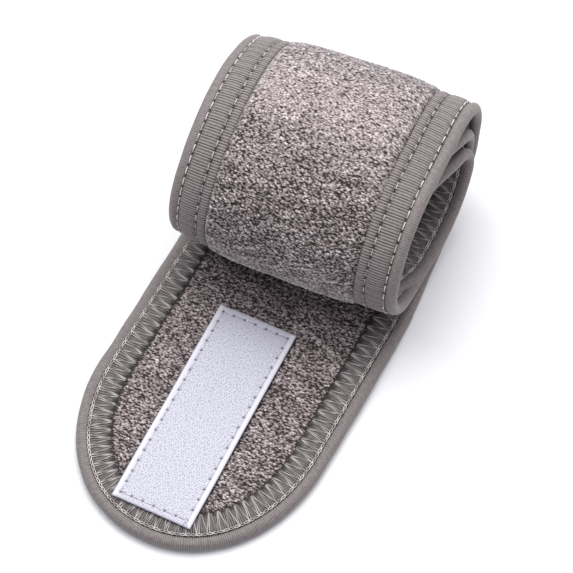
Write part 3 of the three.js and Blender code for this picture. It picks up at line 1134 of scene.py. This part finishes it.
@dataclass
class EdgeBinding:
    """Ribbed knit strip folded round the edge, with a soft roll at the fold."""

    material: bpy.types.Material
    rib_pitch: float = 1.05
    rib_height: float = 0.22
    stitch_pitch: float = 4.2
    show_step: float = 0.2625
    core_step: float = 0.42
    roll_radius: float = 2.15
    roll_centre: tuple = (2.15, 2.35)

    def profile(self) -> np.ndarray:
        """Closed outline of the folded strip, as (inset, depth), outer face first."""
        outer = [(15.6, 1.2), (15.7, 0.75), (15.1, 0.42), (13.8, 0.28), (12.6, 0.45), (12.0, 0.85),
                 (11.4, 0.45), (10.0, 0.22), (8.2, 0.15), (6.4, 0.2), (5.0, 0.45), (4.4, 0.85)]
        angles = np.radians(np.linspace(-52, -308, 13))
        fold = [(self.roll_centre[0] + self.roll_radius * math.cos(a),
                 self.roll_centre[1] + self.roll_radius * math.sin(a)) for a in angles]
        inner = [(4.4, 3.95), (5.0, 4.25), (6.6, 4.42), (8.4, 4.45), (10.2, 4.4), (11.6, 4.25),
                 (12.3, 4.0), (12.5, 3.6), (12.2, 3.3)]
        inside = [(4.6, 3.2), (1.6, 2.9), (1.6, 1.8), (4.6, 1.4)]
        return np.array(outer + fold + inner + inside)

    def build(self, stretch: Stretch) -> bpy.types.Object:
        """Make the binding of one stretch.

        Args:
            stretch: The stretch.

        Returns:
            The finished piece.
        """
        profile = self.profile()
        heading = np.roll(profile, -1, 0) - np.roll(profile, 1, 0)
        outward = np.stack([heading[:, 1], -heading[:, 0]], -1)
        outward /= np.linalg.norm(outward, axis=1, keepdims=True)
        centre = profile.mean(0)
        if ((profile[18] - centre) * outward[18]).sum() < 0:
            outward = -outward
        shown = np.ones(len(profile))
        shown[-5:] = 0
        points, faces, uvs, ribs, holes = [], [], [], [], []
        count = 0
        around = len(profile)
        for run in runs_of(stretch):
            stations = self.stations(run, stretch)
            rib = 0.5 + 0.5 * np.cos(2 * np.pi * stations / self.rib_pitch)
            near_hole = 0.5 + 0.5 * np.cos(2 * np.pi * stations / self.stitch_pitch)
            ease = (NOISE.patches(stations * 0.7, stations * 0.0 + 5, (6.0, 5.0), 6) - 0.5)
            sway = NOISE.patches(stations * 0.5, stations * 0 + 9, (14.0, 5.0), 7) - 0.5
            inset, depth = profile[:, 0], profile[:, 1]
            near_row = self.near_rows(inset)
            ribbed = 0.12 + 0.88 * smooth(inset, 4.6, 5.4)
            grow = (rib[:, None] - 0.5) * self.rib_height * shown * ribbed
            grow = grow * (1 - 0.6 * near_row) - 0.14 * near_row * near_hole[:, None] * shown
            grow += 0.25 * ease[:, None] * (inset < 4.0) * shown
            e = inset + outward[:, 0] * grow + 0.5 * sway[:, None]
            d = depth + outward[:, 1] * grow
            s = np.broadcast_to(stations[:, None], e.shape)
            points.append(run.place(s, e, d).reshape(-1, 3))
            faces += self.tube_faces(len(stations), around, count)
            run_length = np.concatenate([[0], np.cumsum(np.hypot(*np.diff(profile, axis=0).T))])
            uvs.append(np.stack([np.broadcast_to(run_length, e.shape).ravel(), s.ravel()], -1))
            inner_leg = (depth > 3.3) * smooth(inset, 3.8, 4.6)
            # Colour tone: lighter on the rib crests and darker in the grooves, as painted shade.
            tone = 0.52 + (rib[:, None] - 0.5) * 0.85 * ribbed * (1 - 0.6 * inner_leg)
            # More painted shade: darker along the needle rows and on the inner leg under the zig-zag.
            tone = tone - 0.4 * near_row - 0.2 * inner_leg
            ribs.append(np.broadcast_to(tone, e.shape).ravel())
            # Dark spots at the needle holes: painted shade.
            tight = smooth(near_hole, 0.78, 0.93)
            holes.append((tight[:, None] * np.clip(near_row * 1.6, 0, 1)).ravel())
            count += len(stations) * around
        piece = make_object(f"{stretch.value}_binding", np.concatenate(points), faces, self.material,
                            np.concatenate(uvs), rib=np.concatenate(ribs), hole=np.concatenate(holes))
        MOTION.apply(piece, stretch)
        return piece

    def stations(self, run: EdgeRun, stretch: Stretch) -> np.ndarray:
        """Places along a run where the strip has a ring of points.

        Args:
            run: The edge run.
            stretch: Its stretch.

        Returns:
            Distances along the run.
        """
        step = self.core_step if stretch is Stretch.CORE else self.show_step
        return np.linspace(run.start, run.end, even_count(run.end - run.start, step, 1))

    def near_rows(self, inset: np.ndarray) -> np.ndarray:
        """How near each point is to a needle row.

        Args:
            inset: Distance in from the edge.

        Returns:
            One on a row, zero away from it.
        """
        gap = np.minimum(np.abs(inset - 4.4), np.abs(inset - 12.0))
        return np.clip(1 - gap / 0.7, 0, 1)

    @staticmethod
    def tube_faces(rings: int, around: int, first: int) -> list:
        """Faces of a closed tube with capped ends.

        Args:
            rings: Number of rings.
            around: Points in a ring.
            first: Number of the first point.

        Returns:
            Faces as lists of point numbers.
        """
        i, j = np.meshgrid(np.arange(rings - 1), np.arange(around), indexing="ij")
        a = first + i * around + j
        b = first + i * around + (j + 1) % around
        faces = np.stack([a, b, b + around, a + around], -1).reshape(-1, 4).tolist()
        last = first + (rings - 1) * around
        faces.append(list(range(first, first + around)))
        faces.append(list(range(last, last + around)))
        return faces


@dataclass
class Coverstitch:
    """Two needle rows on the outer face, and the looper's chain and zig-zag on the inner."""

    thread: bpy.types.Material
    shadow_thread: bpy.types.Material
    pitch: float = 4.2
    edge_row: float = 4.4
    field_row: float = 12.0
    needle_radius: float = 0.24
    looper_radius: float = 0.19

    def marks(self, run: EdgeRun) -> np.ndarray:
        """Needle holes along a run.

        Args:
            run: The edge run.

        Returns:
            Distances along the run.
        """
        first = math.ceil(run.start / self.pitch)
        last = math.floor(run.end / self.pitch)
        return np.arange(first, last + 1) * self.pitch

    def needle_row(self, stretch: Stretch, inset: float, gap: float, depth: float, label: str) -> None:
        """Short stitches from hole to hole on the outer face.

        Args:
            stretch: Stretch of the band.
            inset: Distance of the row from the edge.
            gap: How far from its hole each end of a stitch shows.
            depth: Depth of the stitches' ends.
            label: Name of the thread.
        """
        rods = Rods(radius=self.needle_radius, rise=0.75)
        for run in runs_of(stretch):
            holes = self.marks(run)
            a, b = holes[:-1] + gap, holes[1:] - gap
            row = np.full_like(a, inset)
            up = run.outward((a + b) / 2, row)
            rods.add(run.place(a, row, depth), run.place(b, row, depth), up)
        # The field row takes the darker copy of the thread: painted shade.
        thread = self.thread if inset == self.edge_row else self.shadow_thread
        self.finish(rods.build(f"{stretch.value}_{label}", thread), stretch)

    def looper(self, stretch: Stretch) -> None:
        """Chain by the edge and zig-zag out to the second row, on the inner face.

        Args:
            stretch: The stretch.
        """
        chain = Rods(radius=0.17, rise=0.3, bow=0.75)
        back = Rods(radius=0.17, rise=0.3, bow=-0.75)
        cross = Rods(radius=self.looper_radius, rise=0.35, steps=6, sides=5)
        for run in runs_of(stretch):
            holes = self.marks(run)
            half = np.arange(holes[0], holes[-1], self.pitch / 2)
            a, b = half - 0.25, half + self.pitch / 2 + 0.25
            up = -run.outward(half, np.full_like(half, self.edge_row))
            edge = np.full_like(a, self.edge_row + 0.1)
            for rods in (chain, back):
                rods.add(run.place(a, edge, 4.35), run.place(b, edge, 4.35), up)
            start, mid = holes[:-1], holes[:-1] + self.pitch * 0.42
            near = np.full_like(start, self.edge_row + 0.4)
            far = np.full_like(start, self.field_row + 0.2)
            up = -run.outward(mid, np.full_like(mid, 8.0))
            cross.add(run.place(start, near, 4.4), run.place(mid, far, 4.4), up)
            cross.add(run.place(mid + 0.5, far, 4.4), run.place(start + self.pitch, near, 4.4), up)
            cross.add(run.place(start + 0.95, near, 4.4), run.place(mid + 0.15, far - 0.5, 4.4), up)
        self.finish(chain.build(f"{stretch.value}_looper_chain", self.thread), stretch)
        self.finish(back.build(f"{stretch.value}_looper_chain_back", self.thread), stretch)
        # The zig-zag takes the darker copy too, as painted shade; the chain keeps the light thread.
        self.finish(cross.build(f"{stretch.value}_looper_zigzag", self.shadow_thread), stretch)

    def finish(self, piece: bpy.types.Object, stretch: Stretch) -> None:
        """Give a thread the motion of its stretch.

        Args:
            piece: The thread.
            stretch: Its stretch.
        """
        MOTION.apply(piece, stretch)

    def build(self, stretch: Stretch) -> None:
        """Make every thread of one stretch."""
        self.needle_row(stretch, self.edge_row, 0.6, 0.62, "edge_needle_thread")
        self.needle_row(stretch, self.field_row, 0.75, 0.72, "field_needle_thread")
        self.looper(stretch)


@dataclass
class HookTape:
    """Woven tape with a field of hooks, lockstitched to the flap's inner face."""

    centre: tuple
    top: float
    width: float = 30.0
    length: float = 83.0
    turn: float = math.radians(2)
    cloth: float = 0.7
    selvedge: float = 1.6
    seam_inset: float = 2.3
    stitch_pitch: float = 4.3
    hook_pitch: tuple = (0.95, 0.86)
    hook_height: float = 0.27

    @classmethod
    def from_frame(cls) -> "HookTape":
        """Take the tape's place from the frame."""
        low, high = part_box("hook_tape")
        return cls(centre=((low[0] + high[0]) / 2 / MM, (low[1] + high[1]) / 2 / MM), top=high[2] / MM)

    def to_tape(self, across: np.ndarray, along: np.ndarray) -> tuple[np.ndarray, np.ndarray]:
        """Turn places on the band into places on the tape.

        Args:
            across: Places across the band.
            along: Places along it.

        Returns:
            Places across and along the tape.
        """
        x, y = across - self.centre[0], along - self.centre[1]
        c, s = math.cos(self.turn), math.sin(self.turn)
        return x * c + y * s, y * c - x * s

    def place(self, x: np.ndarray, y: np.ndarray, z: np.ndarray) -> np.ndarray:
        """Points on the tape.

        Args:
            x: Places across the tape.
            y: Places along it.
            z: Heights.

        Returns:
            Points of the row frame, in millimetres.
        """
        x, y, z = np.broadcast_arrays(x, y, np.asarray(z, float))
        c, s = math.cos(self.turn), math.sin(self.turn)
        sag = 0.5 * (NOISE.patches(x, y, (16.0, 19.0), 8) - 0.5)
        return np.stack([self.centre[0] + x * c - y * s, self.centre[1] + x * s + y * c, z + sag], -1)

    def cloth_top(self) -> float:
        """Height of the woven face."""
        return self.top - self.hook_height - 0.1

    def seam(self) -> tuple[np.ndarray, np.ndarray]:
        """Start and end of each lockstitch, round the tape."""
        x, y = self.width / 2 - self.seam_inset, self.length / 2 - self.seam_inset
        corners = [(-x, -y), (x, -y), (x, y), (-x, y), (-x, -y)]
        starts, ends = [], []
        for (x0, y0), (x1, y1) in zip(corners, corners[1:]):
            length = math.hypot(x1 - x0, y1 - y0)
            count = round(length / self.stitch_pitch)
            share = np.linspace(0, 1, count + 1)
            line = np.stack([x0 + (x1 - x0) * share, y0 + (y1 - y0) * share], -1)
            starts.append(line[:-1])
            ends.append(line[1:])
        return np.concatenate(starts), np.concatenate(ends)

    def build_cloth(self, material: bpy.types.Material) -> None:
        """Woven tape, with ribbed selvedges and a pucker at every needle hole."""
        step, coarse = 0.36, 6
        rows = even_count(self.length, step, coarse)
        columns = even_count(self.width, step, coarse)
        y, x = np.meshgrid(np.linspace(-0.5, 0.5, rows) * self.length,
                           np.linspace(-0.5, 0.5, columns) * self.width, indexing="ij")
        edge = np.minimum(self.width / 2 - np.abs(x), self.length / 2 - np.abs(y))
        starts, _ = self.seam()
        gap = np.full(x.shape, 99.0)
        for hole in starts:
            gap = np.minimum(gap, np.hypot(x - hole[0], y - hole[1]))
        ribs = 0.06 * np.sin(2 * np.pi * y / 0.9) * (self.width / 2 - np.abs(x) < self.selvedge)
        seam_gap = np.abs(edge - self.seam_inset)
        top = self.cloth_top() + ribs - 0.22 * np.exp(-((gap / 0.7) ** 2))
        top = top - 0.1 * np.exp(-((seam_gap / 0.6) ** 2))
        top = top - 0.35 * (1 - smooth(edge, 0, 0.5))
        cut_end = np.abs(y) > self.length / 2 - 0.3
        fray = 0.25 * (NOISE.patches(x * 3, y * 0, (1.0, 1.0), 9) - 0.5) * cut_end
        upper = self.place(x, y + fray * np.sign(y), top).reshape(-1, 3)
        lower = self.place(x, y, self.cloth_top() - self.cloth).reshape(-1, 3)
        points, faces, kept = join_cloth_back(upper, lower, rows, columns, coarse)
        uv = np.stack([x.ravel(), y.ravel()], -1)
        # Dark spot at each needle hole: painted shade.
        hole = np.clip(1.7 - gap / 0.38, 0, 1).ravel()
        border = (1 - smooth(self.width / 2 - np.abs(x), self.selvedge - 0.3, self.selvedge + 0.1)).ravel()
        none = np.zeros(len(kept))
        piece = make_object("hook_tape_cloth", points, faces, material, np.concatenate([uv, uv[kept]]),
                            hole=np.concatenate([hole, none]), selvedge=np.concatenate([border, none]))
        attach(piece, "flap")
        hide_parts("hook_tape")

    def build_hooks(self, material: bpy.types.Material) -> None:
        """Fine hooks in staggered rows, each bent its own way."""
        x_reach = self.width / 2 - self.selvedge - 0.6
        y_reach = self.length / 2 - 0.8
        columns = round(2 * x_reach / self.hook_pitch[0])
        rows = round(2 * y_reach / self.hook_pitch[1])
        j, i = np.meshgrid(np.arange(rows), np.arange(columns), indexing="ij")
        random = np.random.default_rng(21)
        stagger = 0.25 + 0.5 * (j % 2)
        x = -x_reach + (i + stagger) * 2 * x_reach / columns + random.uniform(-0.15, 0.15, i.shape)
        y = -y_reach + (j + 0.5) * 2 * y_reach / rows + random.uniform(-0.12, 0.12, i.shape)
        x, y = x.ravel(), y.ravel()
        seam_gap = np.minimum(np.abs(np.abs(y) - (self.length / 2 - self.seam_inset)),
                              np.abs(np.abs(x) - (self.width / 2 - self.seam_inset)))
        keep = seam_gap > 0.45
        x, y = x[keep], y[keep]
        heading = random.uniform(-np.pi, np.pi, len(x))
        base = self.place(x, y, self.cloth_top() - 0.05)
        reach = np.stack([np.cos(heading), np.sin(heading), np.zeros(len(x))], -1) * 0.05
        up = np.tile((0.0, 0.0, 1.0), (len(x), 1))
        height = self.hook_height
        bend = ((0, 0, 0), (-0.1, 0, height * 1.8), (0.5, 0, height * 0.45))
        rods = Rods(radius=0.065, sides=4, steps=4, hook=bend)
        rods.add(base - reach, base + reach, up)
        piece = rods.build("hook_field", material)
        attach(piece, "flap")

    def build_seam(self, material: bpy.types.Material) -> None:
        """Lockstitch round the tape, with three loose thread ends at its lower corners."""
        starts, ends = self.seam()
        gap = (ends - starts) / np.linalg.norm(ends - starts, axis=1, keepdims=True) * 0.75
        z = self.cloth_top() + 0.02
        rods = Rods(radius=0.17, rise=0.3)
        up = np.tile((0.0, 0.0, 1.0), (len(starts), 1))
        a, b = starts + gap, ends - gap
        rods.add(self.place(a[:, 0], a[:, 1], z), self.place(b[:, 0], b[:, 1], z), up)
        x, y = self.width / 2 - self.seam_inset, -self.length / 2 + self.seam_inset
        tails = [((x, y), (x + 1.6, y - 2.6)), ((x, y), (x - 0.6, y - 2.4)), ((-x, y), (-x + 1.9, y + 0.8))]
        tail_starts = np.array([tail[0] for tail in tails])
        tail_ends = np.array([tail[1] for tail in tails])
        rods.add(self.place(tail_starts[:, 0], tail_starts[:, 1], z + 0.1),
                 self.place(tail_ends[:, 0], tail_ends[:, 1], z + 0.1), np.tile((0.0, 0.0, 1.0), (3, 1)))
        piece = rods.build("hook_tape_seam", material)
        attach(piece, "flap")
        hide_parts("hook_tape_thread")


TAPE = HookTape.from_frame()


# ---- studio ----------------------------------------------------------------------------


@dataclass
class Studio:
    """Pale floor, soft light from above, and the camera."""

    azimuth: float = math.radians(29)
    elevation: float = math.radians(60)
    roll: float = math.radians(-1.2)
    distance: float = 0.9
    target: tuple = (-0.0016, 0.0, 0.0)
    lens: float = 156.9
    floor_colour: str = "#f4f4f6"
    floor_shade: str = "#f2f2f4"
    sky: str = "#f7f8ff"
    sky_strength: float = 0.42

    def camera(self) -> None:
        """Look down at the band over the tip of the flap."""
        ce, se = math.cos(self.elevation), math.sin(self.elevation)
        back = Vector((math.sin(self.azimuth) * ce, -math.cos(self.azimuth) * ce, se))
        right = Vector((math.cos(self.azimuth), math.sin(self.azimuth), 0))
        up = back.cross(right)
        c, s = math.cos(self.roll), math.sin(self.roll)
        turned_right, turned_up = right * c + up * s, up * c - right * s
        axes = Matrix((turned_right, turned_up, back)).transposed().to_4x4()
        data = bpy.data.cameras.new("camera")
        data.lens = self.lens
        data.sensor_width = 36
        data.clip_start = 0.05
        camera = bpy.data.objects.new("camera", data)
        camera.matrix_world = Matrix.Translation(Vector(self.target) + back * self.distance) @ axes
        bpy.context.scene.collection.objects.link(camera)
        bpy.context.scene.camera = camera

    def area(self, name: str, place: tuple, size: float, power: float, aim: tuple) -> None:
        """Add one square soft box.

        Args:
            name: Its name.
            place: Where it hangs, in metres.
            size: Side of the square.
            power: Watts.
            aim: Where it points.
        """
        data = bpy.data.lights.new(name, "AREA")
        data.size = size
        data.energy = power
        light = bpy.data.objects.new(name, data)
        light.location = place
        light.rotation_euler = (Vector(place) - Vector(aim)).to_track_quat("Z", "Y").to_euler()
        bpy.context.scene.collection.objects.link(light)

    def build(self) -> None:
        """Set up the floor, lights, world and camera."""
        material, shader = cloth_material("painted_paper_floor")
        tree = material.node_tree
        place = add_node(tree, "ShaderNodeTexCoord")
        grain = add_node(tree, "ShaderNodeTexNoise", {"Vector": place.outputs["Object"], "Scale": 60.0})
        ramp = add_node(tree, "ShaderNodeValToRGB", {"Fac": grain.outputs["Fac"]})
        ramp.color_ramp.elements[0].color = linear(self.floor_shade)
        ramp.color_ramp.elements[1].color = linear(self.floor_colour)
        tree.links.new(ramp.outputs["Color"], shader.inputs["Base Color"])
        shader.inputs["Roughness"].default_value = 0.9
        mesh = bpy.data.meshes.new("floor")
        half = 3.0
        mesh.from_pydata([(-half, -half, -0.0003), (half, -half, -0.0003), (half, half, -0.0003),
                          (-half, half, -0.0003)], [], [(0, 1, 2, 3)])
        mesh.materials.append(material)
        floor = bpy.data.objects.new("floor", mesh)
        bpy.context.scene.collection.objects.link(floor)
        world = bpy.data.worlds.new("studio")
        world.use_nodes = True
        world.node_tree.nodes["Background"].inputs["Color"].default_value = linear(self.sky)
        world.node_tree.nodes["Background"].inputs["Strength"].default_value = self.sky_strength
        bpy.context.scene.world = world
        self.area("key", (-0.3, 0.05, 0.9), 0.8, 6.0, (0, 0.0, 0.02))
        self.area("top", (0.05, 0.5, 0.9), 0.9, 8.5, (0, 0.03, 0.03))
        bpy.context.scene.view_settings.view_transform = "Standard"
        self.camera()


# ---- assembly --------------------------------------------------------------------------


def replace_frame_nodes() -> None:
    """Hide the plain frame solids that the built pieces stand in for."""
    stretch_of = {"flap": Stretch.FRONT, "base": Stretch.MIDDLE, "roll": Stretch.REAR}
    stand_in = {"outer_terry": "outer_terry", "inner_terry": "inner_terry", "binding": "binding",
                "edge_needle_thread": "edge_needle_thread", "field_needle_thread": "field_needle_thread",
                "looper_thread": "looper_zigzag"}
    for node in frame["nodes"]:
        body, _, rest = node.partition("_")
        for part, piece in stand_in.items():
            if body in stretch_of and rest.startswith(part):
                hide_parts(node)


def report_pieces() -> None:
    """Log every piece with its number of triangles."""
    for piece in bpy.data.objects:
        if piece.type == "MESH" and len(piece.data.vertices) > 100:
            triangles = sum(len(face.vertices) - 2 for face in piece.data.polygons)
            LOG.info("%s: %d triangles", piece.name, triangles)


def main() -> None:
    """Build every piece in order."""
    logging.basicConfig(level=logging.INFO, format="%(name)s: %(message)s")
    Studio().build()
    terry = TerryFinish().build()
    binding = BindingFinish().build()
    thread = ThreadFinish("spun_polyester_thread", "#dad5d3", "#a49d9b").build()
    # A darker copy of the thread, used as painted shade on the field needle row and the zig-zag.
    looper = ThreadFinish("shaded_thread_copy", "#bdb8b7", "#878180").build()
    for stretch in Stretch:
        TerryPly(Face.OUTER, terry, inset=15.3, backing=2.2, surface=0.6).build(stretch)
        TerryPly(Face.INNER, terry, inset=12.3, backing=2.4, surface=4.15).build(stretch)
        EdgeBinding(binding).build(stretch)
        Coverstitch(thread, looper).build(stretch)
        LOG.info("%s stretch built", stretch.value)
    TAPE.build_cloth(HookTapeFinish().build())
    TAPE.build_hooks(HookFinish().build())
    TAPE.build_seam(ThreadFinish("tape_lockstitch_thread", "#e9e7f2", "#c2bfd0").build())
    replace_frame_nodes()
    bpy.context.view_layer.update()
    report_pieces()


if __name__ == "__main__":
    main()
